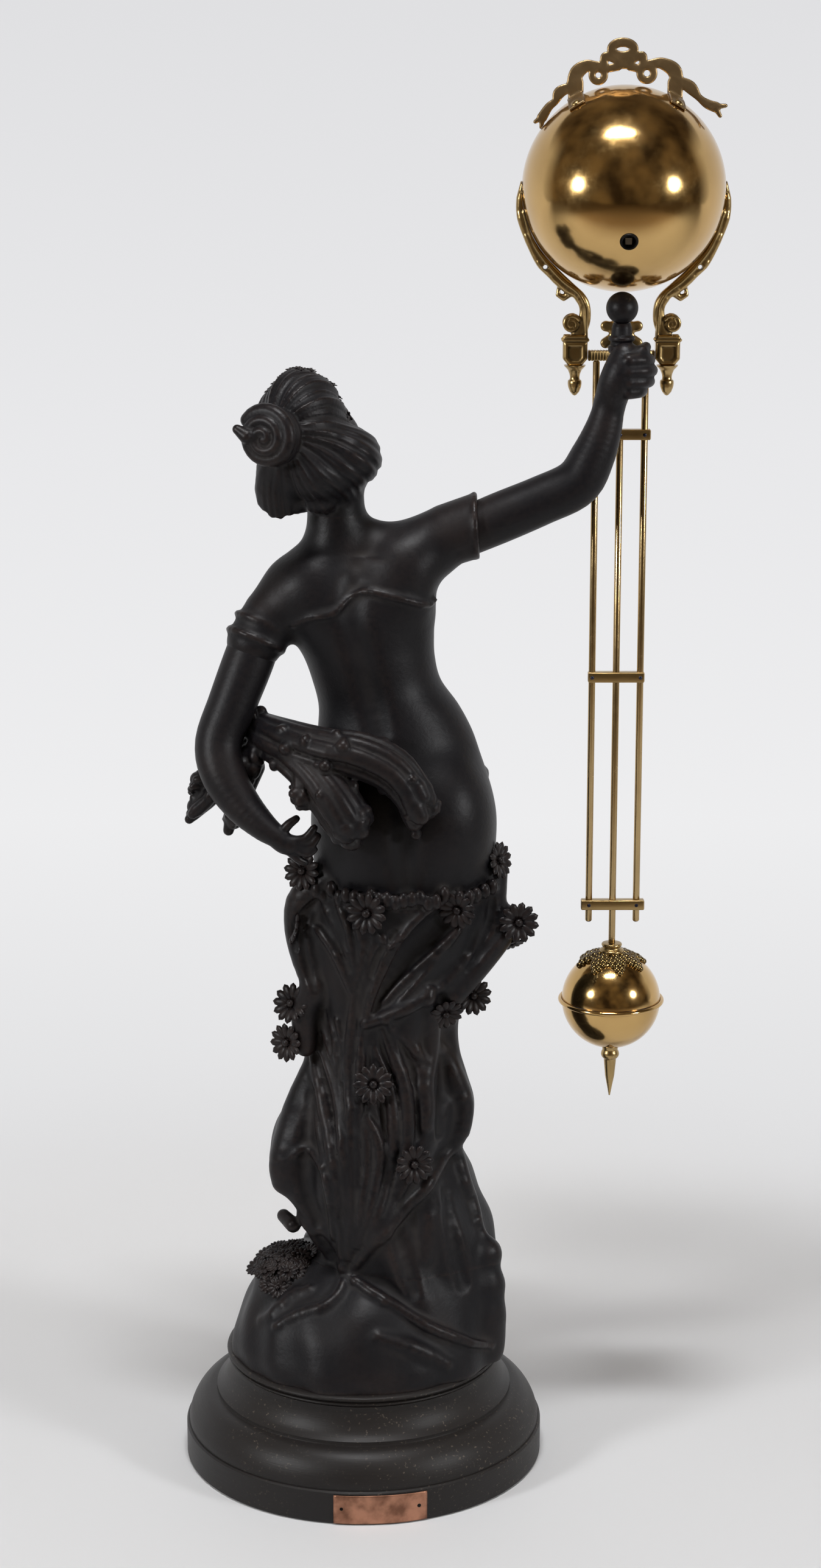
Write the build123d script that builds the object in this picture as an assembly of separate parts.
from build123d import *
from math import atan2, cos, degrees, exp, pi, radians, sin, sqrt
import os

# Swinging mystery clock: a dark figure on a turned plinth holds up a ball clock with a gridiron pendulum.
# Millimetres, +Z up, origin at the centre of the plinth's underside.
# The figure faces +Y, and +X is its raised-arm side.

# Fits
RUN = 0.05
SEAT = 0.1
AIR = 0.4

# Plinth, turned in wood
BASE_R = 107.3
BASE_H = 68.0
BAND_H = 20.5
OVOLO_H = 20.5
FILLET_R = 88.7
FILLET_H = 2.5
BEAD_R = 82.0
BEAD_H = 6.5
SEAT_R = 77.0

# Bare plate and its nails, on the front of the plinth's band
PLATE_W = 32.0
PLATE_H = 15.5
PLATE_T = 0.8
NAIL_R = 0.7
NAIL_L = 6.0

# Fixing rod through the plinth
ROD_R = 4.0
NUT_AF = 13.0
NUT_H = 6.5
WASHER_R = 12.0
WASHER_T = 2.0
RECESS_R = 15.0
RECESS_H = 14.0
BOSS_R = 10.0
BOSS_H = 16.0

# Figure: heights of the castings, one above the other, and their wall
MOUND_H = 60.0
SKIRT_H = 224.0
TORSO_H = 214.0
HEAD_H = 90.0
WALL = 6.0
# A length larger than the figure, for boxes that stand for half of space
SPAN = 400.0
HEAD_CORE_R = 25.0
HEAD_CORE_X = -24.0
HEAD_CORE_Y = 1.0
HEAD_CORE_RISE = 46.0
BUN_R = 13.0
BUN_X = -58.0
BUN_Y = -14.0
BUN_RISE = 52.0

# Swinging frame: the plane it swings in and the pivot it swings on
SWING_X = 148.0
SWING_Y = 22.0
PIVOT_Z = 675.0
PIN_R = 2.2
PIN_HEAD_R = 3.6
PIN_HEAD_T = 2.0

# Post in the raised hand
POST_X = SWING_X - 1.5
POST_Y = -3.0
POST_R = 4.6
POST_GRIP = 24.0
NECK_R = 6.4
FINIAL_R = 9.0
FINIAL_RISE = 14.6
HAND_R = 13.5
HAND_DROP = 21.0
HAND_TOP_CUT = 2.0
WRIST_BACK = 6.0
WRIST_DROP = 17.0
POST_CLEAR = 60.0

# Ball, about four and a half inches across
BALL_R = 57.15
BALL_RISE = 78.5
BALL_WALL = 1.2
SEAM_Y = 8.0
LAP = 5.0
DIAL_OPENING_R = 40.0
KEY_DROP = 25.5
KEY_HOLE_R = 4.7
EYELET_R = 6.6
EYELET_T = 0.8

# Dial, bezel and glass, measured forward from the ball's centre
DIAL_R = 37.4
DIAL_Y = 36.0
DIAL_T = 1.0
LEDGE = 2.0
BEZEL_R = 44.0
BEZEL_Y = 46.0
GLASS_R = 38.4
GLASS_Y = 43.0
GLASS_T = 1.5

# Crossbar, brackets and carrier, measured from the pivot
BAR_DROP = 14.5
BAR_T = 6.0
BOX_X = 26.2
BOX_HALF = 7.3
BOX_TOP = 5.0
BOX_H = 15.0
BRACKET_T = 7.0
DROP_H = 17.5
DROP_R = 4.0
DROP_TOP_R = 6.4
VOLUTE_R = 4.2
CARRIER_R = 7.6
CARRIER_T = 5.0
STEM_W = 9.0

# Gridiron rods and crosspieces, measured down from the pivot
GRID_ROD_R = 2.0
GRID_ROD_X = 14.0
CROSS_T = 6.0
UPPER_DROP = 59.5
MIDDLE_DROP = 201.0
LOWER_DROP = 338.6
UPPER_HALF = 17.5
MIDDLE_HALF = 16.4
LOWER_HALF = 18.7
ROD_TAIL = 10.4
CROSS_PIN_R = 0.9

# Bob and its rating spike
BOB_DROP = 397.4
BOB_R = 29.3
BOB_WALL = 1.2
BOB_BAND_R = 31.5
BOB_BAND_H = 2.6
BOB_BORE = GRID_ROD_R + RUN
CAP_R = 22.0
CAP_T = 2.4
COLLAR_R = 6.2
COLLAR_H = 6.0
SPIKE_H = 31.5
SPIKE_R = 5.5
SPIKE_THREAD = 6.5
RATING_TRAVEL = 3.0

# Clockwork, measured from the ball's centre; the plates stand square to the swing axis
PLATE_R = 36.0
PLATE_THICK = 2.0
FRONT_PLATE_Y = 14.0
BACK_PLATE_Y = -10.0
PILLAR_R = 2.2
PILLAR_X_TOP = 24.0
PILLAR_Z_TOP = 22.0
PILLAR_X_LOW = 28.0
PILLAR_Z_LOW = -6.0
FOOT_R = 1.6
FOOT_X = 30.0
FOOT_Z = 10.0
ARBOR_R = 0.7
CENTRE_R = 1.1
BARREL_R = 20.0
BARREL_WALL = 1.0
BARREL_BACK_Y = -1.0
WHEEL_T = 1.4
GREAT_Y = 8.0
WIND_R = 2.5
WIND_SQUARE = 3.6
WIND_END_Y = -47.0
RATCHET_R = 7.0
RATCHET_T = 2.0
GREAT_TEETH = 72
CENTRE_TEETH = 60
THIRD_TEETH = 60
LEAVES = 6
CANNON_TEETH = 10
MINUTE_TEETH = 30
MINUTE_LEAVES = 8
HOUR_TEETH = 32
ESCAPE_TEETH = 30
RATCHET_TEETH = 24
THIRD_DISTANCE = 17.6
THIRD_ANGLE = 60.0
ESCAPE_DISTANCE = 14.2
ESCAPE_ANGLE = 160.0
MOTION_DISTANCE = 12.0
ESCAPE_R = 7.5
ANCHOR_Z = 31.0
PENDULUM_L = 35.0
PENDULUM_R = 6.5
SPRING_T = 0.4
SPRING_TURNS = 7
CANNON_R = 2.2
HOUR_PIPE_R = 3.0
HOUR_HAND_L = 20.0
MINUTE_HAND_L = 30.0
HAND_T = 0.8

# Places that follow from the sizes above
MOUND_TOP = BASE_H + MOUND_H
HIP_Z = MOUND_TOP + SKIRT_H
NECK_Z = HIP_Z + TORSO_H
BALL_Z = PIVOT_Z + BALL_RISE
BOB_Z = PIVOT_Z - BOB_DROP
HAND_Z = PIVOT_Z - HAND_DROP
BACK_FACE_Y = BACK_PLATE_Y + PLATE_THICK

NODES = {}


def slab(sketch, low, high):
    """A flat outline drawn in X and Z, given thickness from Y = low to Y = high."""
    return extrude(Plane.XZ.offset(-high) * sketch, amount=high - low)


def disc(x, z, radius, low, high):
    return slab(Pos(x, z) * Circle(radius), low, high)


def upright(radius, low, high, x=0.0, y=0.0):
    """A round bar standing along Z."""
    return Pos(x, y, low) * Cylinder(radius, high - low, align=(Align.CENTER, Align.CENTER, Align.MIN))


def turned(x, y, points):
    """A solid turned about the vertical line through x, y, from its half outline of radius and height."""
    half = make_face(Polyline([(r, 0, z) for r, z in points], close=True))
    return Pos(x, y, 0) * revolve(half, Axis.Z)


def rod_between(start, end, r_start, r_end):
    """A straight limb that tapers from one point to another."""
    start = Vector(*start)
    end = Vector(*end)
    along = Plane(origin=start, z_dir=end - start)
    length = (end - start).length
    low = (Align.CENTER, Align.CENTER, Align.MIN)
    if abs(r_start - r_end) < 0.01:
        return along * Cylinder(r_start, length, align=low)
    return along * Cone(r_start, r_end, length, align=low)


def limb(points):
    """Tapering stretches with a round joint at each bend; points are (x, y, z, radius)."""
    body = None
    for (*start, r_start), (*end, r_end) in zip(points, points[1:]):
        piece = rod_between(start, end, r_start, r_end)
        body = piece if body is None else body + piece
    for x, y, z, r in points:
        body = body + Pos(x, y, z) * Sphere(r)
    return body


def eased(stations):
    """The same stations with one more between each pair, on the smooth curve through its neighbours."""
    ends = [stations[0]] + stations + [stations[-1]]
    fuller = []
    for before, start, end, after in zip(ends, ends[1:], ends[2:], ends[3:]):
        fuller.append(start)
        fuller.append(tuple((9 * (b + c) - a - d) / 16 for a, b, c, d in zip(before, start, end, after)))
    return fuller + [stations[-1]]


def casting(stations, low, height, inset=0.0):
    """A body lofted through evenly spaced ovals: each station is (left, right, back, front)."""
    ovals = []
    stations = eased(stations)
    step = height / (len(stations) - 1)
    for level, (left, right, back, front) in enumerate(stations):
        middle = Pos((left + right) / 2, (back + front) / 2, low + level * step)
        ovals.append(middle * Ellipse((right - left) / 2 - inset, (front - back) / 2 - inset))
    return loft(ovals, ruled=True)


def mirrored(part):
    """The same part on the other side of the swing's middle plane."""
    return mirror(part, about=Plane.YZ.offset(SWING_X))


def moved(part):
    """Clockwork and ball pieces are drawn about the ball's centre, then set in place."""
    return Pos(SWING_X, SWING_Y, BALL_Z) * part


def at_pivot(part):
    """Frame pieces are drawn about the pivot, then set in place."""
    return Pos(SWING_X, SWING_Y, PIVOT_Z) * part


# Plinth
def plinth():
    ovolo_top = BAND_H + OVOLO_H
    fillet_top = ovolo_top + FILLET_H
    bead_low = BASE_H - BEAD_H
    edge = [
        Line((0, 0), (BASE_R, 0)),
        Line((BASE_R, 0), (BASE_R, BAND_H)),
        Line((BASE_R, BAND_H), (BASE_R - 1.5, BAND_H)),
        ThreePointArc(
            (BASE_R - 1.5, BAND_H),
            (BASE_R - 0.3 * (BASE_R - FILLET_R), BAND_H + 0.68 * OVOLO_H),
            (FILLET_R + 1.5, ovolo_top),
        ),
        Line((FILLET_R + 1.5, ovolo_top), (FILLET_R, ovolo_top)),
        Line((FILLET_R, ovolo_top), (FILLET_R, fillet_top)),
        ThreePointArc(
            (FILLET_R, fillet_top),
            (BEAD_R + 0.5, fillet_top + 0.42 * (bead_low - fillet_top)),
            (BEAD_R - 2, bead_low),
        ),
        ThreePointArc((BEAD_R - 2, bead_low), (BEAD_R, bead_low + BEAD_H / 2), (BEAD_R - 2, BASE_H)),
        Line((BEAD_R - 2, BASE_H), (0, BASE_H)),
        Line((0, BASE_H), (0, 0)),
    ]
    body = revolve(Plane.XZ * make_face(edge), Axis.Z)
    body -= upright(ROD_R + AIR, 0, BASE_H)
    body -= upright(RECESS_R, 0, RECESS_H)
    return body - plate_block() - plate_nails()


def plate_block():
    """The plate is bent to the band, so it is a piece of a tube."""
    shell = upright(BASE_R + PLATE_T, 0, BAND_H) - upright(BASE_R - 0.2, 0, BAND_H)
    window = Pos(0, -BASE_R, BAND_H / 2) * Box(PLATE_W, 30, PLATE_H)
    return shell & window


def plate_nails():
    nails = []
    for side in (-1, 1):
        x = side * (PLATE_W / 2 - 2.4)
        y = -sqrt(BASE_R**2 - x**2)
        nails.append(disc(x, BAND_H / 2, NAIL_R, y - PLATE_T - 0.5, y + NAIL_L))
    return Compound(children=nails)


NODES["base_plinth"] = plinth()
NODES["name_plate"] = plate_block() - plate_nails()
NODES["plate_nails"] = plate_nails()

rod_top = MOUND_TOP - 2.0
nut_low = RECESS_H - WASHER_T - NUT_H
NODES["fixing_rod"] = upright(ROD_R, nut_low - 2.0, rod_top)
NODES["fixing_washer"] = upright(WASHER_R, RECESS_H - WASHER_T, RECESS_H) - upright(ROD_R + SEAT, 0, BASE_H)
nut = Pos(0, 0, nut_low) * extrude(RegularPolygon(NUT_AF / 2, 6, major_radius=False), amount=NUT_H)
NODES["fixing_nut"] = nut - upright(ROD_R + SEAT, 0, BASE_H)

# Figure
DOME = [
    (-SEAT_R, SEAT_R, -SEAT_R, SEAT_R),
    (-76.5, 76.5, -76.5, 76.5),
    (-70, 70, -70, 70),
    (-59, 59, -59, 59),
    (-34, 34, -34, 34),
]
TRAIN = [
    (-4, 70, -56, 50),
    (-4, 85, -57, 51),
    (-8, 83, -56, 51),
    (-15, 82, -54, 51),
    (-33, 80, -51, 51),
]
SKIRT = [
    (-33, 80, -51, 51),
    (-46, 73, -51, 52),
    (-57, 62, -51, 52),
    (-51, 62, -48, 50),
    (-36, 59, -43, 46),
    (-32, 55, -40, 43),
    (-36, 60, -41, 44),
    (-40, 71, -43, 44),
    (-34, 78, -43, 43),
]
TORSO = [
    (-34, 78, -43, 43),
    (-28, 78, -43, 41),
    (-27, 77, -42, 39),
    (-25.5, 71.5, -38, 38),
    (-25, 63, -32, 38),
    (-27, 48, -28, 38),
    (-36, 42.5, -29, 41),
    (-44, 43, -31, 39),
    (-40, 40, -28, 30),
    (-30, 4, -15, 18),
]
HEAD = [
    (-30, 4, -15, 18),
    (-48, 4, -26, 30),
    (-57, 5, -33, 37),
    (-59, 12, -37, 40),
    (-60, 12, -37, 40),
    (-58, 2, -34, 35),
    (-54, -10, -25, 26),
    (-44, -26, -9, 9),
]


# Folds, blades and the hollow leaf on the skirt, and the train's hem on the mound
# Lines are (x, rise) over the casting's lower edge
SKIN_POINTS = 84
SKIRT_LEVELS = 40
MOUND_LEVELS = 15
NECK_SOLID = 30.0
RIB_FADE = 5.0
RIB_ROOT = 0.2
FOLDS = 7
FOLD_DEEP = 2.4
FOLD_TWIST = 0.026
FOLD_TOP = 202.0
FOLD_FADE = 90.0
LEDGE = 3.0
BLADE_H = 4.0
BLADE_W = 4.6
BLADES = [
    [(-11, 1), (-13, 41), (-15, 70), (-21, 95), (-28, 134)],
    [(-7, 12), (-6, 66), (-7, 110), (-4, 181)],
    [(3, 22), (13, 54), (18, 87), (15, 121), (8, 138)],
    [(7, 27), (21, 58), (26, 81), (26, 111), (12, 150)],
    [(-4, 177), (-8, 197), (-23, 224)],
    [(-1, 182), (3, 206), (9, 224)],
]
EDGE_H = 4.5
EDGE_W = 7.5
CLOTH_EDGES = [
    [(-6, 1), (26, 44), (55, 71)],
    [(38, 94), (37, 112), (41, 150), (39, 171)],
    [(54, 72), (61, 96), (46, 129)],
    [(3, 156), (15, 187), (37, 219)],
    [(4, 155), (36, 172), (58, 192)],
]
LEAF = [(8, 158), (50, 218)]
LEAF_WIDE = 13.0
LEAF_DEEP = 9.0
TRAIN_BLEND = 5.0
HEM = [(76, 12), (58, 28), (35, 42), (12, 52), (-13, 62)]
HEM_H = 4.0
HEM_W = 7.0


def layer(low, high):
    """All of space between two heights."""
    return Pos(0, 0, low) * Box(SPAN, SPAN, high - low, align=(Align.CENTER, Align.CENTER, Align.MIN))


def between(stations, share):
    """The oval at a share of the height, on the smooth curve through the evenly spaced stations."""
    place = share * (len(stations) - 1)
    k = min(int(place), len(stations) - 2)
    t = place - k
    ends = [stations[0]] + stations + [stations[-1]]
    return tuple(
        b + t / 2 * (c - a + t * (2 * a - 5 * b + 4 * c - d + t * (3 * (b - c) + d - a)))
        for a, b, c, d in zip(*ends[k:k + 4])
    )


def modelled(skin, low, height, levels, inset=0.0):
    """A casting lofted through closed curves: skin(turn, z, inset) is the place (x, y) of the surface."""
    curves = []
    for level in range(levels + 1):
        z = low + height * level / levels
        ring = [skin(2 * pi * step / SKIN_POINTS, z, inset) for step in range(SKIN_POINTS)]
        curves.append(make_face(Spline(*[(x, y, z) for x, y in ring], periodic=True)))
    return loft(curves, ruled=True)


def ridge(x, rise, line, height, width):
    """How far a rib stands out that runs along a line of (x, rise) and fades at both ends."""
    if not line[0][1] <= rise <= line[-1][1]:
        return 0.0
    for (x_low, low), (x_high, high) in zip(line, line[1:]):
        if rise <= high:
            lean = (x_high - x_low) / (high - low)
            middle = x_low + lean * (rise - low)
            break
    share = (rise - line[0][1]) / (line[-1][1] - line[0][1])
    fade = min(1.0, RIB_FADE * share + RIB_ROOT, RIB_FADE * (1.0 - share))
    return height * fade * exp(-(((x - middle) / width) ** 2) / (1.0 + lean**2))


def leaf_basin(x, rise):
    """The depth of the hollow leaf, deepest along its middle line."""
    (x_low, low), (x_high, high) = LEAF
    length = sqrt((x_high - x_low) ** 2 + (high - low) ** 2)
    way_x = (x_high - x_low) / length
    way_z = (high - low) / length
    share = ((x - x_low) * way_x + (rise - low) * way_z) / length
    if not 0.0 < share < 1.0:
        return 0.0
    across = (x - x_low) * way_z - (rise - low) * way_x
    return LEAF_DEEP * max(0.0, 1.0 - (across / (LEAF_WIDE * sin(pi * share))) ** 2)


def drapery(turn, x, rise):
    """How far folds, blades and the hollow leaf lift the skirt from its plain oval, and the ledge at its top."""
    cloth = min(1.0, max(0.0, (FOLD_TOP - rise) / FOLD_FADE))
    lift = cloth * FOLD_DEEP * sin(FOLDS * turn + FOLD_TWIST * rise) + (1.0 - cloth) * LEDGE
    if sin(turn) < 0:
        lift += sum(ridge(x, rise, line, BLADE_H, BLADE_W) for line in BLADES)
        lift += sum(ridge(x, rise, line, EDGE_H, EDGE_W) for line in CLOTH_EDGES)
        lift -= leaf_basin(x, rise)
    return lift


def skirt_skin(turn, z, inset):
    rise = z - MOUND_TOP
    left, right, back, front = between(SKIRT, rise / SKIRT_H)
    x = (left + right) / 2 + (right - left) / 2 * cos(turn)
    y = (back + front) / 2 + (front - back) / 2 * sin(turn)
    lift = drapery(turn, x, rise) - inset
    return x + lift * cos(turn), y + lift * sin(turn)


def reach(oval, turn):
    """How far an oval round the upright axis reaches at a turn."""
    left, right, back, front = oval
    x = (left + right) / 2
    y = (back + front) / 2
    wide = ((right - left) / 2) ** 2
    deep = ((front - back) / 2) ** 2
    square = cos(turn) ** 2 / wide + sin(turn) ** 2 / deep
    half = x * cos(turn) / wide + y * sin(turn) / deep
    rest = x * x / wide + y * y / deep - 1.0
    return (half + sqrt(half * half - square * rest)) / square


def mound_skin(turn, z, inset):
    """The dome of earth and the train of the skirt over it, run into each other, with the train's hem."""
    rise = z - BASE_H
    dome = reach(between(DOME, rise / MOUND_H), turn)
    train = reach(between(TRAIN, rise / MOUND_H), turn)
    r = (dome + train + sqrt((dome - train) ** 2 + TRAIN_BLEND**2)) / 2
    if sin(turn) < 0:
        r += ridge(r * cos(turn), rise, HEM, HEM_H, HEM_W)
    r -= inset
    return r * cos(turn), r * sin(turn)


def mound():
    body = modelled(mound_skin, BASE_H, MOUND_H, MOUND_LEVELS)
    body -= modelled(mound_skin, BASE_H, MOUND_H, MOUND_LEVELS, WALL) & layer(BASE_H, MOUND_TOP - WALL)
    body += upright(BOSS_R, MOUND_TOP - BOSS_H, MOUND_TOP - WALL / 2)
    return body - upright(ROD_R + SEAT, BASE_H, rod_top + SEAT)


SKIRT_SOLID = modelled(skirt_skin, MOUND_TOP, SKIRT_H, SKIRT_LEVELS)
SHOULDER = (34.0, 2.0, HIP_Z + 186)
CUFF = (66.0, 0.0, HIP_Z + 213)
ELBOW = (122.0, -3.0, HIP_Z + 239)
CUFF_R = 17.0
ARM_R = 14.6
WRIST_R = 9.6
LEFT_SHOULDER = (-38.0, 0.0, HIP_Z + 176)
LEFT_CUFF = (-60.0, -8.0, HIP_Z + 149)
LEFT_ELBOW = (-81.0, -22.0, HIP_Z + 92)
LEFT_WRIST = (-50.0, -46.0, HIP_Z + 44)
LEFT_HAND = (-33.0, -49.0, HIP_Z + 31)
TORSO_SOLID = casting(TORSO, HIP_Z, TORSO_H)


def torso():
    body = TORSO_SOLID
    body += limb([(*LEFT_SHOULDER, 22.0), (*LEFT_CUFF, 17.5)]) & below_cuff(LEFT_SHOULDER, LEFT_CUFF)
    body += limb([(*SHOULDER, 22.0), (*CUFF, CUFF_R)]) & below_cuff(SHOULDER, CUFF)
    inside = casting(TORSO, HIP_Z, TORSO_H, WALL) & layer(HIP_Z, HIP_Z + TORSO_H - NECK_SOLID)
    return body - inside


def below_cuff(shoulder, cuff):
    """The half of space on the shoulder's side of the cuff's flat end."""
    seam = Plane(origin=cuff, z_dir=Vector(*shoulder) - Vector(*cuff))
    return seam * Box(SPAN, SPAN, SPAN, align=(Align.CENTER, Align.CENTER, Align.MIN))


def post_bore():
    return upright(POST_R + SEAT, HAND_Z - POST_GRIP / 2 - SEAT, HAND_Z + POST_CLEAR, POST_X, POST_Y)


def raised_arm():
    wrist = (POST_X - WRIST_BACK, POST_Y, HAND_Z - WRIST_DROP)
    arm = limb([(*CUFF, ARM_R), (*ELBOW, ARM_R - 0.4), (*wrist, WRIST_R)])
    arm -= below_cuff(SHOULDER, CUFF)
    arm += Pos(POST_X, POST_Y, HAND_Z) * Sphere(HAND_R)
    top = Pos(0, 0, HAND_Z + HAND_R - HAND_TOP_CUT) * Box(
        SPAN, SPAN, POST_CLEAR, align=(Align.CENTER, Align.CENTER, Align.MIN)
    )
    return arm - post_bore() - top


def lowered_limb(spare):
    """The bent lowered arm, made larger all round by the spare."""
    radii = (14.8, 14.2, 8.0, 5.5)
    joints = (LEFT_CUFF, LEFT_ELBOW, LEFT_WRIST, LEFT_HAND)
    return limb([(*joint, radius + spare) for joint, radius in zip(joints, radii)])


def lowered_arm():
    return lowered_limb(0.0) - below_cuff(LEFT_SHOULDER, LEFT_CUFF) - TORSO_SOLID


def head():
    body = casting(HEAD, NECK_Z, HEAD_H)
    bun = Pos(BUN_X, BUN_Y, NECK_Z + BUN_RISE) * Sphere(BUN_R)
    core = Pos(HEAD_CORE_X, HEAD_CORE_Y, NECK_Z + HEAD_CORE_RISE) * Sphere(HEAD_CORE_R)
    return body + bun - core


SHEAF_STALKS = [
    [(-64, -16, 74, 10), (-44, -30, 62, 12), (-8, -48, 62, 12), (18, -54, 46, 11), (26, -54, 34, 10)],
    [(-98, -14, 44, 8), (-66, -20, 58, 11), (-44, -30, 62, 12)],
    [(-76, -16, 34, 8), (-54, -26, 56, 11)],
    [(-8, -48, 62, 11), (36, -50, 54, 9), (48, -50, 40, 8)],
]


def sheaf():
    """A bundle of stalks laid across the small of the back, under the lowered arm."""
    bundle = None
    for stalk in SHEAF_STALKS:
        piece = limb([(x, y, HIP_Z + rise, r) for x, y, rise, r in stalk])
        bundle = piece if bundle is None else bundle + piece
    return bundle - TORSO_SOLID - lowered_limb(SEAT)


DAISY_R = 13.0
DAISY_PETALS = 10
DAISY_STALK = 26.0


def daisy(x, y, z, turn, tilt):
    """A daisy head: a ring of petals round a domed middle, on a short thick stalk behind it."""
    petal = PolarLocations(0.72 * DAISY_R, DAISY_PETALS) * Circle(0.27 * DAISY_R)
    flower = extrude(Circle(0.76 * DAISY_R) + petal, amount=4.0)
    flower += Pos(0, 0, 3.0) * Sphere(0.3 * DAISY_R)
    low = (Align.CENTER, Align.CENTER, Align.MIN)
    flower += Pos(0, 0, -DAISY_STALK) * Cone(0.3 * DAISY_R, 0.6 * DAISY_R, DAISY_STALK, align=low)
    return Pos(x, y, z) * Rot(0, 0, turn) * Rot(90 + tilt, 0, 0) * flower


def daisies():
    """The flower heads that stand out from the skirt; the low ones are on the mound."""
    places = [
        (-36, -36, HIP_Z + 10, -35, 0),
        (74, -30, HIP_Z + 18, 40, 0),
        (2, -54, HIP_Z - 12, 0, -15),
        (63, -41, HIP_Z - 10, 30, -10),
        (84, -18, HIP_Z - 24, 40, 0),
        (58, -30, HIP_Z - 70, 35, 0),
        (-36, -30, HIP_Z - 28, -45, 0),
        (-42, -30, HIP_Z - 72, -40, 0),
        (-46, -26, HIP_Z - 92, -45, 0),
    ]
    heads = daisy(*places[0])
    for place in places[1:]:
        heads += daisy(*place)
    heads = heads - SKIRT_SOLID - TORSO_SOLID
    return Compound(children=list(heads.solids()))


NODES["ground_mound"] = mound()
skirt_hollow = modelled(skirt_skin, MOUND_TOP, SKIRT_H, SKIRT_LEVELS, WALL) & layer(MOUND_TOP + WALL, HIP_Z)
NODES["figure_skirt"] = SKIRT_SOLID - skirt_hollow
NODES["figure_torso"] = torso()
NODES["figure_head"] = head()
NODES["raised_arm"] = raised_arm()
NODES["lowered_arm"] = lowered_arm()
NODES["flower_sheaf"] = sheaf()
NODES["flower_heads"] = daisies()


# Post and pivot pin
def hand_post():
    low = HAND_Z - POST_GRIP / 2
    grip_top = HAND_Z + HAND_R - 2
    finial_z = PIVOT_Z + FINIAL_RISE
    post = upright(POST_R, low, finial_z, POST_X, POST_Y)
    post += upright(NECK_R, grip_top, PIVOT_Z + 4.0, POST_X, POST_Y)
    post += Pos(POST_X, POST_Y, finial_z) * Sphere(FINIAL_R)
    return post - disc(SWING_X, PIVOT_Z, PIN_R, POST_Y, SWING_Y)


def pivot_pin():
    tip = SWING_Y + CARRIER_T / 2 + AIR
    pin = disc(SWING_X, PIVOT_Z, PIN_R, POST_Y, tip)
    return pin + disc(SWING_X, PIVOT_Z, PIN_HEAD_R, tip, tip + PIN_HEAD_T)


NODES["hand_post"] = hand_post()
NODES["pivot_pin"] = pivot_pin()


# Ball: two shells that lap at a seam forward of the middle
def ball_layer(outer, inner, low, high):
    """A slice of a hollow ball between two planes square to Y."""
    slice_box = Pos(0, (low + high) / 2, 0) * Box(3 * BALL_R, high - low, 3 * BALL_R)
    return (Sphere(outer) - Sphere(inner)) & slice_box


def key_hole():
    return disc(0, -KEY_DROP, KEY_HOLE_R, -BALL_R, WIND_END_Y + 10)


CREST_TAB_X = 28.0
CREST_TAB_Z = 46.5
CREST_TAB_Y = -sqrt(BALL_R**2 - CREST_TAB_X**2 - CREST_TAB_Z**2)
CREST_TAB_W = 9.0
CREST_TAB_END = 5.0
CREST_SCREW_R = 1.5
CREST_HEAD_R = 2.8
CREST_T = 1.4


def radial(side, radius, low, high):
    """A round bar along the ball's radius through a crest tab."""
    out = Vector(side * CREST_TAB_X, CREST_TAB_Y, CREST_TAB_Z).normalized()
    along = Plane(origin=out * low, z_dir=out)
    return along * Cylinder(radius, high - low, align=(Align.CENTER, Align.CENTER, Align.MIN))


def rear_shell():
    inner = BALL_R - BALL_WALL
    shell = ball_layer(BALL_R, inner, -2 * BALL_R, SEAM_Y)
    shell += ball_layer(inner, inner - BALL_WALL, SEAM_Y - LAP, SEAM_Y + LAP)
    for side in (-1, 1):
        shell -= radial(side, CREST_SCREW_R, BALL_R / 2, 2 * BALL_R)
    return shell - key_hole()


def front_shell():
    shell = ball_layer(BALL_R, BALL_R - BALL_WALL, SEAM_Y, 2 * BALL_R)
    return shell - disc(0, 0, DIAL_OPENING_R, 0, 2 * BALL_R)


def eyelet():
    """A dark metal ring let into the winding hole, with a thin flange on the ball."""
    ring = disc(0, -KEY_DROP, KEY_HOLE_R, -2 * BALL_R, WIND_END_Y + 8)
    ring += disc(0, -KEY_DROP, EYELET_R, -2 * BALL_R, WIND_END_Y) - Sphere(BALL_R)
    ring &= Sphere(BALL_R + EYELET_T)
    return ring - disc(0, -KEY_DROP, KEY_HOLE_R - 0.9, -2 * BALL_R, 0)


def bezel():
    sleeve_r = DIAL_OPENING_R - SEAT
    ring = disc(0, 0, sleeve_r, DIAL_Y - DIAL_T, BEZEL_Y)
    ring += disc(0, 0, BEZEL_R, BEZEL_Y - 9, BEZEL_Y - 1) - Sphere(BALL_R)
    ring -= disc(0, 0, DIAL_R + SEAT - LEDGE, 0, BEZEL_Y)
    ring -= disc(0, 0, DIAL_R + SEAT, DIAL_Y, BEZEL_Y)
    return ring - disc(0, 0, GLASS_R + SEAT, GLASS_Y, BEZEL_Y)


FEET = [(FOOT_X, FOOT_Z), (-FOOT_X, FOOT_Z), (0.0, -31.5)]


def dial():
    face = disc(0, 0, DIAL_R, DIAL_Y, DIAL_Y + DIAL_T) - disc(0, 0, HOUR_PIPE_R + AIR, 0, BEZEL_Y)
    for x, z in FEET:
        face += disc(x, z, FOOT_R, FRONT_PLATE_Y + PLATE_THICK, DIAL_Y)
    return face


NODES["rear_shell"] = moved(rear_shell())
NODES["front_shell"] = moved(front_shell())
NODES["winding_eyelet"] = moved(eyelet())
NODES["bezel"] = moved(bezel())
NODES["dial_glass"] = moved(disc(0, 0, GLASS_R, GLASS_Y, GLASS_Y + GLASS_T))
NODES["dial"] = moved(dial())


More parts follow.
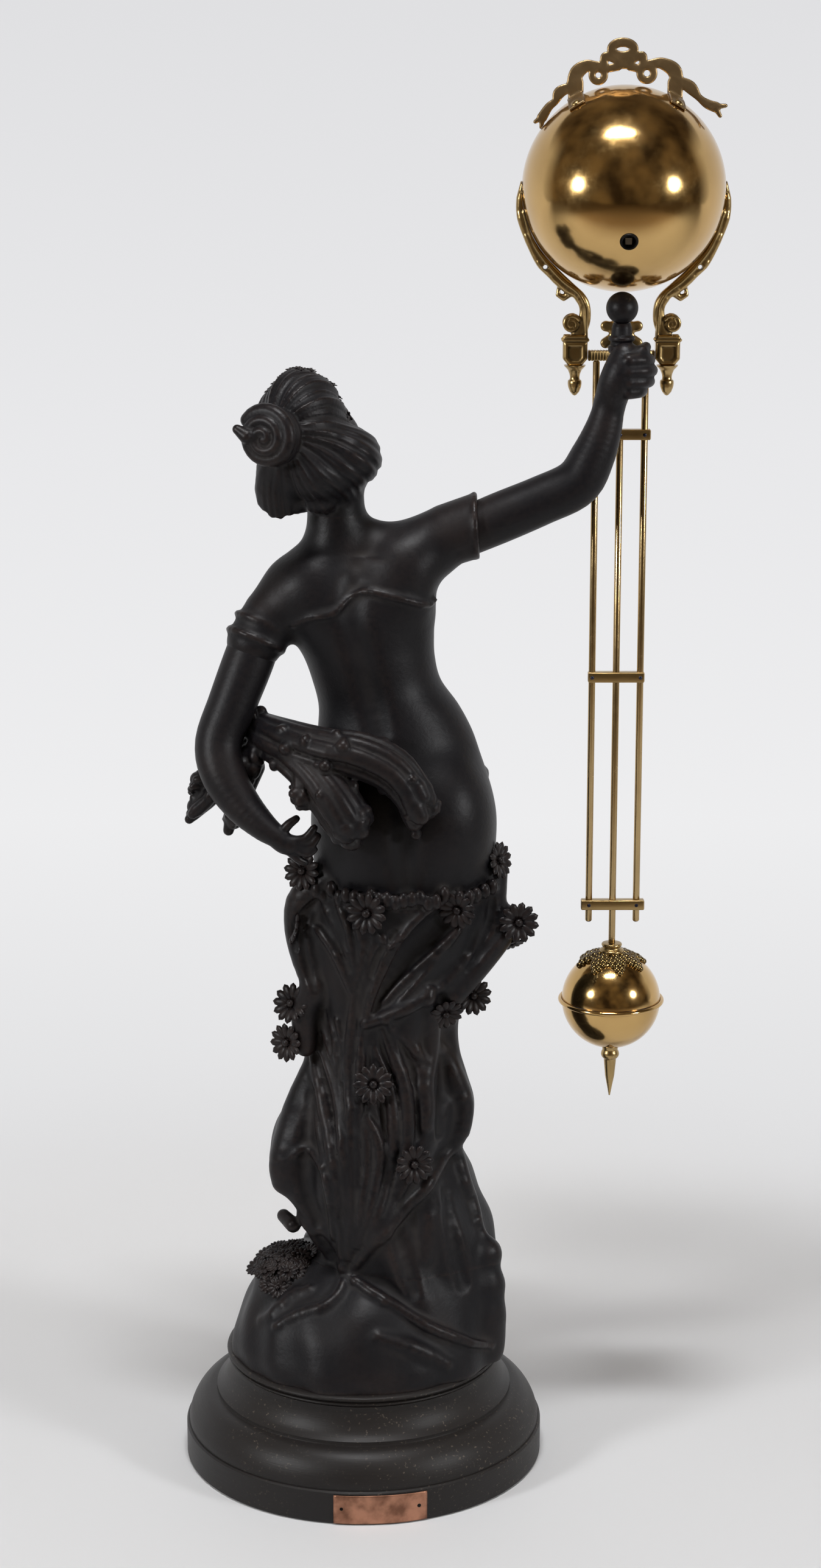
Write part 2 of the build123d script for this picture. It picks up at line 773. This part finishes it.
# Ribbon crest on top of the ball, drawn in X and Z about the ball's centre
RIBBON_W = 5.0
FORK_W = 2.8
TOP_LOOP = [(-7.6, 76.0), (-1.3, 80.4), (5.0, 77.0), (2.4, 73.2), (-4.6, 73.2), (-7.6, 76.0)]
LEFT_BOW = [(-4.0, 70.0), (-11.4, 71.6), (-10.6, 65.8), (-4.4, 66.6)]
RIGHT_BOW = [(2.0, 70.0), (9.2, 72.4), (8.2, 66.0), (2.4, 66.6)]
LEFT_RING = (-14.8, 61.9)
RIGHT_RING = (12.0, 62.6)
RING_R = 4.2
LEFT_RUN = [(-12.0, 67.0), (-17.0, 65.2), (-22.0, 66.0), (-27.5, 62.0), (-30.0, 56.4)]
LEFT_TAIL = [(-30.0, 56.4), (-37.6, 51.4), (-38.6, 46.8), (-43.6, 40.8), (-46.6, 37.0)]
LEFT_FORK = [(-48.8, 35.2), (-46.4, 33.2)]
RIGHT_RUN = [(9.6, 67.4), (14.0, 65.6), (18.5, 66.5), (24.5, 63.5), (28.8, 58.0)]
RIGHT_TAIL = [(28.8, 58.0), (36.0, 53.8), (39.6, 50.2), (45.0, 47.2), (50.4, 43.8)]
RIGHT_FORK = [(55.8, 42.6), (52.6, 39.4)]


def ribbon(points, width=RIBBON_W):
    """A flat ribbon of one width laid along the points, with round bends."""
    strip = None
    for (x0, z0), (x1, z1) in zip(points, points[1:]):
        turn = Rot(0, 0, degrees(atan2(z1 - z0, x1 - x0)))
        length = sqrt((x1 - x0) ** 2 + (z1 - z0) ** 2)
        stretch = Pos((x0 + x1) / 2, (z0 + z1) / 2) * turn * SlotCenterToCenter(length, width)
        strip = stretch if strip is None else strip + stretch
    return strip


def ring(centre):
    return Pos(*centre) * (Circle(RING_R + RIBBON_W / 2) - Circle(RING_R - RIBBON_W / 2))


def crest():
    bow = Pos(-1, 69.7) * Ellipse(5.5, 4.6) + ribbon(TOP_LOOP)
    for points in (LEFT_BOW, RIGHT_BOW, LEFT_RUN, RIGHT_RUN, LEFT_TAIL, RIGHT_TAIL):
        bow += ribbon(points)
    bow = bow + ring(LEFT_RING) + ring(RIGHT_RING)
    for tail, fork in ((LEFT_TAIL, LEFT_FORK), (RIGHT_TAIL, RIGHT_FORK)):
        for tip in fork:
            bow += ribbon([tail[-1], tip], FORK_W)
    for side in (-1, 1):
        bow += Pos(side * CREST_TAB_X, BALL_R) * Rectangle(CREST_TAB_W, 2 * (BALL_R - CREST_TAB_Z))
    sheet = slab(bow, -CREST_T / 2, CREST_T / 2) - Sphere(BALL_R)
    for side in (-1, 1):
        forward = (Align.CENTER, Align.MAX, Align.CENTER)
        span = Box(CREST_TAB_W, CREST_TAB_END - CREST_TAB_Y, 30, align=forward)
        skin = Sphere(BALL_R + CREST_T) - Sphere(BALL_R)
        sheet += skin & (Pos(side * CREST_TAB_X, CREST_T / 2, CREST_TAB_Z + 4) * span)
        sheet -= radial(side, CREST_SCREW_R, BALL_R / 2, 2 * BALL_R)
    return sheet


def crest_screws():
    screws = []
    for side in (-1, 1):
        shank = radial(side, CREST_SCREW_R, BALL_R - 5, BALL_R + CREST_T + 1)
        head = radial(side, CREST_HEAD_R, BALL_R + CREST_T + 0.3, BALL_R + CREST_T + 1.8)
        screws.append(shank + head)
    return Compound(children=[s.solid() for s in screws])


NODES["ribbon_crest"] = moved(crest())
NODES["crest_screws"] = moved(crest_screws())


# Brackets, crossbar and carrier, drawn about the pivot on the right-hand side
def bracket():
    foot = -BOX_TOP
    inner = [
        (BOX_X - 4.7, foot),
        (17.9, 6),
        (18.1, 13.5),
        (21.2, 20),
        (28.2, 26.5),
        (38, 36),
        (46, 48),
        (52, 64),
        (55.5, BALL_RISE + 5),
    ]
    outer = [
        (57.6, BALL_RISE + 5),
        (60.2, 72),
        (59.6, 62),
        (55.6, 50.7),
        (49, 37),
        (42, 29.5),
        (34.1, 22),
        (27.6, 18),
        (24.4, 13.5),
        (24.2, 8),
        (27, 1.5),
        (BOX_X + 4.7, foot),
    ]
    edge = [Spline(inner), Line(inner[-1], outer[0]), Spline(outer), Line(outer[-1], inner[0])]
    half = BRACKET_T / 2
    scroll = slab(make_face(edge), -half, half)
    spur = make_face(Polyline([(26, 15.5), (35.1, 16), (36, 24.5)], close=True))
    scroll += slab(spur, -half, half)
    scroll -= Pos(0, 0, BALL_RISE) * Sphere(BALL_R)
    box = Pos(BOX_X, 0, foot - BOX_H / 2) * Box(2 * BOX_HALF, BRACKET_T + 3, BOX_H)
    volute = disc(28.2, 3.6, VOLUTE_R, -half - 1, half + 1)
    return scroll + box + volute


def drops():
    """The two turned acorns that hang under the bracket boxes."""
    top = -BOX_TOP - BOX_H
    outline = [
        (0, top),
        (DROP_TOP_R, top),
        (0.6 * DROP_TOP_R, top - 0.2 * DROP_H),
        (0.75 * DROP_R, top - 0.42 * DROP_H),
        (DROP_R, top - 0.5 * DROP_H),
        (DROP_R, top - 0.66 * DROP_H),
        (DROP_R * 0.8, top - 0.82 * DROP_H),
        (DROP_R * 0.3, top - 0.95 * DROP_H),
        (0, top - DROP_H),
    ]
    return Compound(children=[turned(side * BOX_X, 0, outline).solid() for side in (-1, 1)])


def carrier():
    bar_top = -BAR_DROP + BAR_T / 2
    plate = Circle(CARRIER_R) + Pos(0, bar_top / 2) * Rectangle(STEM_W, -bar_top)
    body = slab(plate, -CARRIER_T / 2, CARRIER_T / 2)
    return body - disc(0, 0, PIN_R + RUN, -CARRIER_T, CARRIER_T)


right = at_pivot(bracket())
NODES["right_bracket"] = right
NODES["left_bracket"] = mirrored(right)
NODES["bracket_drops"] = at_pivot(drops())
NODES["crossbar"] = at_pivot(Pos(0, 0, -BAR_DROP) * Box(2 * (BOX_X - BOX_HALF), BAR_T, BAR_T))
NODES["pivot_carrier"] = at_pivot(carrier())


# Gridiron
def cross_pins(drop, with_centre):
    places = [-GRID_ROD_X, GRID_ROD_X] + ([0.0] if with_centre else [])
    return [disc(x, -drop, CROSS_PIN_R, -CROSS_T / 2, CROSS_T / 2) for x in places]


ALL_PINS = cross_pins(UPPER_DROP, True) + cross_pins(MIDDLE_DROP, False) + cross_pins(LOWER_DROP, False)


def less_pins(part):
    for pin in ALL_PINS:
        part = part - pin
    return part


def crosspiece(drop, half):
    bar = Pos(0, 0, -drop) * Box(2 * half, CROSS_T, CROSS_T)
    for x in (-GRID_ROD_X, 0.0, GRID_ROD_X):
        bar -= upright(GRID_ROD_R + RUN, -drop - CROSS_T, -drop + CROSS_T, x)
    return less_pins(bar)


def outer_rods():
    top = -BAR_DROP - BAR_T / 2
    low = -LOWER_DROP - ROD_TAIL
    rods = [less_pins(upright(GRID_ROD_R, low, top, x)) for x in (-GRID_ROD_X, GRID_ROD_X)]
    return Compound(children=[rod.solid() for rod in rods])


NODES["outer_rods"] = at_pivot(outer_rods())
SPIKE_TOP = -BOB_DROP - BOB_R
centre_low = SPIKE_TOP - SPIKE_THREAD
NODES["centre_rod"] = at_pivot(less_pins(upright(GRID_ROD_R, centre_low, -UPPER_DROP + CROSS_T / 2)))
NODES["upper_crosspiece"] = at_pivot(crosspiece(UPPER_DROP, UPPER_HALF))
NODES["middle_crosspiece"] = at_pivot(crosspiece(MIDDLE_DROP, MIDDLE_HALF))
NODES["lower_crosspiece"] = at_pivot(crosspiece(LOWER_DROP, LOWER_HALF))
NODES["gridiron_pins"] = at_pivot(Compound(children=[pin.solid() for pin in ALL_PINS]))


# Bob, drawn about its own centre
def bob_place(part):
    return Pos(SWING_X, SWING_Y, BOB_Z) * part


def bob_half(side):
    shell = Sphere(BOB_R) - Sphere(BOB_R - BOB_WALL)
    low = Align.MIN if side > 0 else Align.MAX
    shell &= Pos(0, 0, side * BOB_BAND_H / 2) * Box(90, 90, 60, align=(Align.CENTER, Align.CENTER, low))
    return shell - upright(BOB_BORE, -90, 90)


def bob_band():
    """A round wire at the equator with a flat inner rim, let in between the two shells."""
    wire = Torus(BOB_BAND_R - BOB_BAND_H / 2, BOB_BAND_H / 2)
    rim = upright(BOB_R, -BOB_BAND_H / 2, BOB_BAND_H / 2)
    return wire + rim - upright(BOB_R - BOB_WALL, -BOB_BAND_H, BOB_BAND_H)


def bob_cap():
    """The pressed flower that covers the crown of the bob, with the collar the rod enters."""
    reach = sqrt(BOB_R**2 - CAP_R**2)
    petals = 8
    skin = Sphere(BOB_R + CAP_T) - Sphere(BOB_R)
    outline = Circle(0.78 * CAP_R) + PolarLocations(0.7 * CAP_R, petals) * Circle(0.3 * CAP_R)
    cap = skin & (Pos(0, 0, reach - 4) * extrude(outline, amount=BOB_R))
    cap += upright(COLLAR_R, BOB_R - 1, BOB_R + COLLAR_H) - Sphere(BOB_R)
    return cap - upright(BOB_BORE, -90, 90)


def bob_weight():
    inner = BOB_R - BOB_WALL - SEAT
    body = Sphere(inner) & upright(inner, -0.93 * inner, 0.93 * inner)
    return body - upright(BOB_BORE, -90, 90)


def spike():
    """The rating nut: a beaded collar under the bob that runs out to a point."""
    low = -BOB_R - SPIKE_H
    outline = [
        (0, -BOB_R - RUN),
        (0.9 * SPIKE_R, -BOB_R - RUN),
        (0.85 * SPIKE_R, -BOB_R - 0.06 * SPIKE_H),
        (SPIKE_R, -BOB_R - 0.1 * SPIKE_H),
        (SPIKE_R, -BOB_R - 0.18 * SPIKE_H),
        (0.7 * SPIKE_R, -BOB_R - 0.23 * SPIKE_H),
        (0.66 * SPIKE_R, -BOB_R - 0.3 * SPIKE_H),
        (0.5 * SPIKE_R, -BOB_R - 0.6 * SPIKE_H),
        (0.06 * SPIKE_R, low),
        (0, low),
    ]
    depth = SPIKE_THREAD + RATING_TRAVEL + AIR
    return turned(0, 0, outline) - upright(BOB_BORE, -BOB_R - depth, -BOB_R)


NODES["bob_upper_shell"] = bob_place(bob_half(1))
NODES["bob_lower_shell"] = bob_place(bob_half(-1))
NODES["bob_band"] = bob_place(bob_band())
NODES["bob_cap"] = bob_place(bob_cap())
NODES["bob_weight"] = bob_place(bob_weight())
NODES["rating_spike"] = bob_place(spike())


# Clockwork
def wheel(teeth, module, phase, low, high, x=0.0, z=0.0):
    """A toothed disc; one tooth's middle points along phase, in degrees from X towards Z."""
    pitch = 2 * pi / teeth
    tip = module * (teeth / 2 + 0.75)
    root = module * (teeth / 2 - 1.2)
    points = []
    for k in range(teeth):
        middle = radians(phase) + k * pitch
        for radius, shift in ((root, -0.2), (tip, -0.07), (tip, 0.07), (root, 0.2)):
            angle = middle + shift * pitch
            points.append((radius * cos(angle), radius * sin(angle)))
    return slab(Pos(x, z) * make_face(Polyline(points, close=True)), low, high)


def saw_wheel(teeth, tip, depth, low, high, x=0.0, z=0.0):
    """A ratchet or escape wheel: teeth with one steep side."""
    points = []
    for k in range(teeth):
        angle = 2 * pi * k / teeth
        late = angle + 1.5 * pi / teeth
        points.append((tip * cos(angle), tip * sin(angle)))
        points.append(((tip - depth) * cos(late), (tip - depth) * sin(late)))
    return slab(Pos(x, z) * make_face(Polyline(points, close=True)), low, high)


def gap_phase(angle, teeth):
    """The phase that turns a gap, not a tooth, towards the angle."""
    return angle + 180.0 / teeth


THIRD = (THIRD_DISTANCE * cos(radians(THIRD_ANGLE)), THIRD_DISTANCE * sin(radians(THIRD_ANGLE)))
ESCAPE = (
    THIRD[0] + ESCAPE_DISTANCE * cos(radians(ESCAPE_ANGLE)),
    THIRD[1] + ESCAPE_DISTANCE * sin(radians(ESCAPE_ANGLE)),
)
GREAT_M = 2 * KEY_DROP / (GREAT_TEETH + LEAVES)
CENTRE_M = 2 * THIRD_DISTANCE / (CENTRE_TEETH + LEAVES)
THIRD_M = 2 * ESCAPE_DISTANCE / (THIRD_TEETH + LEAVES)
CANNON_M = 2 * MOTION_DISTANCE / (CANNON_TEETH + MINUTE_TEETH)
HOUR_M = 2 * MOTION_DISTANCE / (MINUTE_LEAVES + HOUR_TEETH)
FRONT_FACE_Y = FRONT_PLATE_Y + PLATE_THICK
PILLARS = [
    (PILLAR_X_TOP, PILLAR_Z_TOP),
    (-PILLAR_X_TOP, PILLAR_Z_TOP),
    (PILLAR_X_LOW, PILLAR_Z_LOW),
    (-PILLAR_X_LOW, PILLAR_Z_LOW),
]
CLICK_STUD = (13.5, -21.0)
CLICK_STUD_R = 1.4


def plate(low):
    body = disc(0, 0, PLATE_R, low, low + PLATE_THICK)
    bores = [(0, 0, CENTRE_R), (0, -KEY_DROP, WIND_R), (0, ANCHOR_Z, ARBOR_R)]
    bores += [(*THIRD, ARBOR_R), (*ESCAPE, ARBOR_R)]
    for x, z, radius in bores:
        body -= disc(x, z, radius + RUN, low - 1, low + PLATE_THICK + 1)
    return body


def front_plate():
    post = disc(-MOTION_DISTANCE, 0, ARBOR_R, FRONT_FACE_Y - 1, FRONT_FACE_Y + 11)
    return plate(FRONT_PLATE_Y) + post


def back_plate():
    stud_end = BACK_PLATE_Y - RATCHET_T - 1.4
    return plate(BACK_PLATE_Y) + disc(*CLICK_STUD, CLICK_STUD_R, stud_end, BACK_FACE_Y - 1)


def pillars():
    return Compound(children=[disc(x, z, PILLAR_R, BACK_FACE_Y, FRONT_PLATE_Y).solid() for x, z in PILLARS])


def click():
    """The pawl that holds the ratchet; its nose stands just clear of the teeth."""
    x, z = CLICK_STUD
    nose = (RATCHET_R + AIR) * 0.99
    points = [(x, z + 2.6), (nose, -KEY_DROP + 2.2), (nose + 1.2, -KEY_DROP), (x, z - 2.6)]
    body = make_face(Polyline(points, close=True)) + Pos(x, z) * Circle(2.6)
    low = BACK_PLATE_Y - RATCHET_T - 0.4
    return slab(body, low, low + RATCHET_T) - disc(x, z, CLICK_STUD_R, low - 1, BACK_PLATE_Y)


def spring_barrel():
    drum = disc(0, -KEY_DROP, BARREL_R, BARREL_BACK_Y, GREAT_Y)
    drum -= disc(0, -KEY_DROP, BARREL_R - BARREL_WALL, BARREL_BACK_Y + BARREL_WALL, GREAT_Y)
    drum += wheel(GREAT_TEETH, GREAT_M, 90.0, GREAT_Y, GREAT_Y + WHEEL_T, z=-KEY_DROP)
    return drum - disc(0, -KEY_DROP, WIND_R + RUN, BARREL_BACK_Y - 1, GREAT_Y + WHEEL_T + 1)


def mainspring():
    """The flat spring, wound as one spiral from near the arbor to the drum's wall."""
    inner = WIND_R + 2.0
    outer = BARREL_R - BARREL_WALL - SPRING_T - SEAT
    steps = 16 * SPRING_TURNS

    def coil(extra):
        points = []
        for k in range(steps + 1):
            radius = inner + (outer - inner) * k / steps + extra
            angle = 2 * pi * SPRING_TURNS * k / steps
            points.append((radius * cos(angle), radius * sin(angle) - KEY_DROP))
        return points

    inside = coil(0.0)
    outside = coil(SPRING_T)
    edge = Polyline(inside + outside[::-1], close=True)
    return slab(make_face(edge), BARREL_BACK_Y + BARREL_WALL + AIR, GREAT_Y - AIR)


def winding_arbor():
    arbor = disc(0, -KEY_DROP, WIND_R, WIND_END_Y + 18, FRONT_FACE_Y)
    square = Pos(0, -KEY_DROP) * Rectangle(WIND_SQUARE, WIND_SQUARE)
    return arbor + slab(square, WIND_END_Y, WIND_END_Y + 18)


def ratchet():
    low = BACK_PLATE_Y - RATCHET_T - 0.4
    body = saw_wheel(RATCHET_TEETH, RATCHET_R, 1.2, low, low + RATCHET_T, z=-KEY_DROP)
    return body - disc(0, -KEY_DROP, WIND_R, low - 1, low + RATCHET_T + 1)


HAND_SHAFT_Y = BEZEL_Y - 5.0
MINUTE_HAND_Y = HAND_SHAFT_Y - 1.6
HOUR_HAND_Y = MINUTE_HAND_Y - 1.6
CANNON_Y = FRONT_FACE_Y + 1.0
HOUR_WHEEL_Y = CANNON_Y + 4.4
CENTRE_WHEEL_Y = -4.5
THIRD_WHEEL_Y = 4.0
ESCAPE_WHEEL_Y = 10.6


def centre_wheel():
    body = disc(0, 0, CENTRE_R, BACK_PLATE_Y, HAND_SHAFT_Y)
    body += wheel(CENTRE_TEETH, CENTRE_M, THIRD_ANGLE, CENTRE_WHEEL_Y, CENTRE_WHEEL_Y + WHEEL_T)
    return body + wheel(LEAVES, GREAT_M, gap_phase(-90.0, LEAVES), GREAT_Y - 0.6, GREAT_Y + WHEEL_T + 0.6)


def cannon_pinion():
    body = wheel(CANNON_TEETH, CANNON_M, gap_phase(180.0, CANNON_TEETH), CANNON_Y, CANNON_Y + 3.0)
    body += disc(0, 0, CANNON_R, CANNON_Y, MINUTE_HAND_Y + HAND_T)
    return body - disc(0, 0, CENTRE_R, 0, BEZEL_Y)


def minute_wheel():
    x = -MOTION_DISTANCE
    low = CANNON_Y + 0.8
    body = wheel(MINUTE_TEETH, CANNON_M, 0.0, low, low + WHEEL_T, x=x)
    body += wheel(MINUTE_LEAVES, HOUR_M, gap_phase(0.0, MINUTE_LEAVES), low, HOUR_WHEEL_Y + 2.6, x=x)
    return body - disc(x, 0, ARBOR_R + RUN, 0, BEZEL_Y)


def hour_wheel():
    body = wheel(HOUR_TEETH, HOUR_M, 180.0, HOUR_WHEEL_Y, HOUR_WHEEL_Y + WHEEL_T)
    body += disc(0, 0, HOUR_PIPE_R, HOUR_WHEEL_Y, HOUR_HAND_Y + HAND_T)
    return body - disc(0, 0, CANNON_R + RUN, 0, BEZEL_Y)


def third_wheel():
    x, z = THIRD
    body = disc(x, z, ARBOR_R, BACK_PLATE_Y, FRONT_FACE_Y)
    body += wheel(LEAVES, CENTRE_M, gap_phase(THIRD_ANGLE + 180.0, LEAVES), -5.5, -2.4, x=x, z=z)
    return body + wheel(THIRD_TEETH, THIRD_M, ESCAPE_ANGLE, THIRD_WHEEL_Y, THIRD_WHEEL_Y + WHEEL_T, x=x, z=z)


def escape_wheel():
    x, z = ESCAPE
    body = disc(x, z, ARBOR_R, BACK_PLATE_Y, FRONT_FACE_Y)
    phase = gap_phase(ESCAPE_ANGLE + 180.0, LEAVES)
    body += wheel(LEAVES, THIRD_M, phase, THIRD_WHEEL_Y - 0.6, THIRD_WHEEL_Y + WHEEL_T + 0.6, x=x, z=z)
    return body + saw_wheel(ESCAPE_TEETH, ESCAPE_R, 1.2, ESCAPE_WHEEL_Y, ESCAPE_WHEEL_Y + 1.2, x=x, z=z)


def anchor():
    """Two pallet arms that straddle the escape wheel, on the arbor of the small pendulum."""
    x, z = ESCAPE
    clear = ESCAPE_R + 1.6
    arm = 2.4
    yoke = Pos(0, ANCHOR_Z) * Circle(3.0)
    for reach in (-1, 1):
        foot = (x + reach * (clear + arm / 2), z + 1.0)
        elbow = (x + reach * (clear + arm / 2), ANCHOR_Z - 1.5)
        yoke += Pos(foot[0], (foot[1] + elbow[1]) / 2) * Rectangle(arm, elbow[1] - foot[1])
        yoke += Pos(elbow[0] / 2, ANCHOR_Z - 1.5) * Rectangle(abs(elbow[0]) + arm, arm)
    body = slab(yoke, ESCAPE_WHEEL_Y, ESCAPE_WHEEL_Y + 1.2)
    return body + disc(0, ANCHOR_Z, ARBOR_R, BACK_PLATE_Y - 5.0, FRONT_FACE_Y)


def inner_pendulum():
    low = BACK_PLATE_Y - 4.0
    strip = Pos(0, ANCHOR_Z - PENDULUM_L / 2) * Rectangle(2.0, PENDULUM_L) + Pos(0, ANCHOR_Z) * Circle(2.6)
    rod = slab(strip, low, low + 1.2)
    rod += disc(0, ANCHOR_Z - PENDULUM_L, PENDULUM_R, low - 1.6, low + 2.4)
    return rod - disc(0, ANCHOR_Z, ARBOR_R, low - 3, BACK_PLATE_Y)


MINUTE_HAND_ANGLE = 120.0
HOUR_HAND_ANGLE = 35.0


def hand(length, width, eye, bore, low, angle):
    """A tapering hand with a round eye; angle is counted from X towards Z."""
    broad = 0.72 * length
    thin = width / 2.6
    edge = [(0, -width / 2), (broad, -thin), (length, 0), (broad, thin), (0, width / 2)]
    outline = make_face(Polyline(edge, close=True)) + Circle(eye)
    return slab(Rot(0, 0, angle) * outline, low, low + HAND_T) - disc(0, 0, bore, low - 1, low + HAND_T + 1)


NODES["front_plate"] = moved(front_plate())
NODES["back_plate"] = moved(back_plate())
NODES["plate_pillars"] = moved(pillars())
NODES["click"] = moved(click())
NODES["spring_barrel"] = moved(spring_barrel())
NODES["mainspring"] = moved(mainspring())
NODES["winding_arbor"] = moved(winding_arbor())
NODES["ratchet_wheel"] = moved(ratchet())
NODES["centre_wheel"] = moved(centre_wheel())
NODES["cannon_pinion"] = moved(cannon_pinion())
NODES["minute_wheel"] = moved(minute_wheel())
NODES["hour_wheel"] = moved(hour_wheel())
NODES["third_wheel"] = moved(third_wheel())
NODES["escape_wheel"] = moved(escape_wheel())
NODES["anchor"] = moved(anchor())
NODES["inner_pendulum"] = moved(inner_pendulum())
NODES["minute_hand"] = moved(hand(MINUTE_HAND_L, 3.0, 4.2, CANNON_R, MINUTE_HAND_Y, MINUTE_HAND_ANGLE))
NODES["hour_hand"] = moved(hand(HOUR_HAND_L, 4.0, 5.0, HOUR_PIPE_R, HOUR_HAND_Y, HOUR_HAND_ANGLE))

os.makedirs("parts", exist_ok=True)
for name, shape in NODES.items():
    export_step(shape, f"parts/{name}.step")
print(len(NODES), "nodes written")
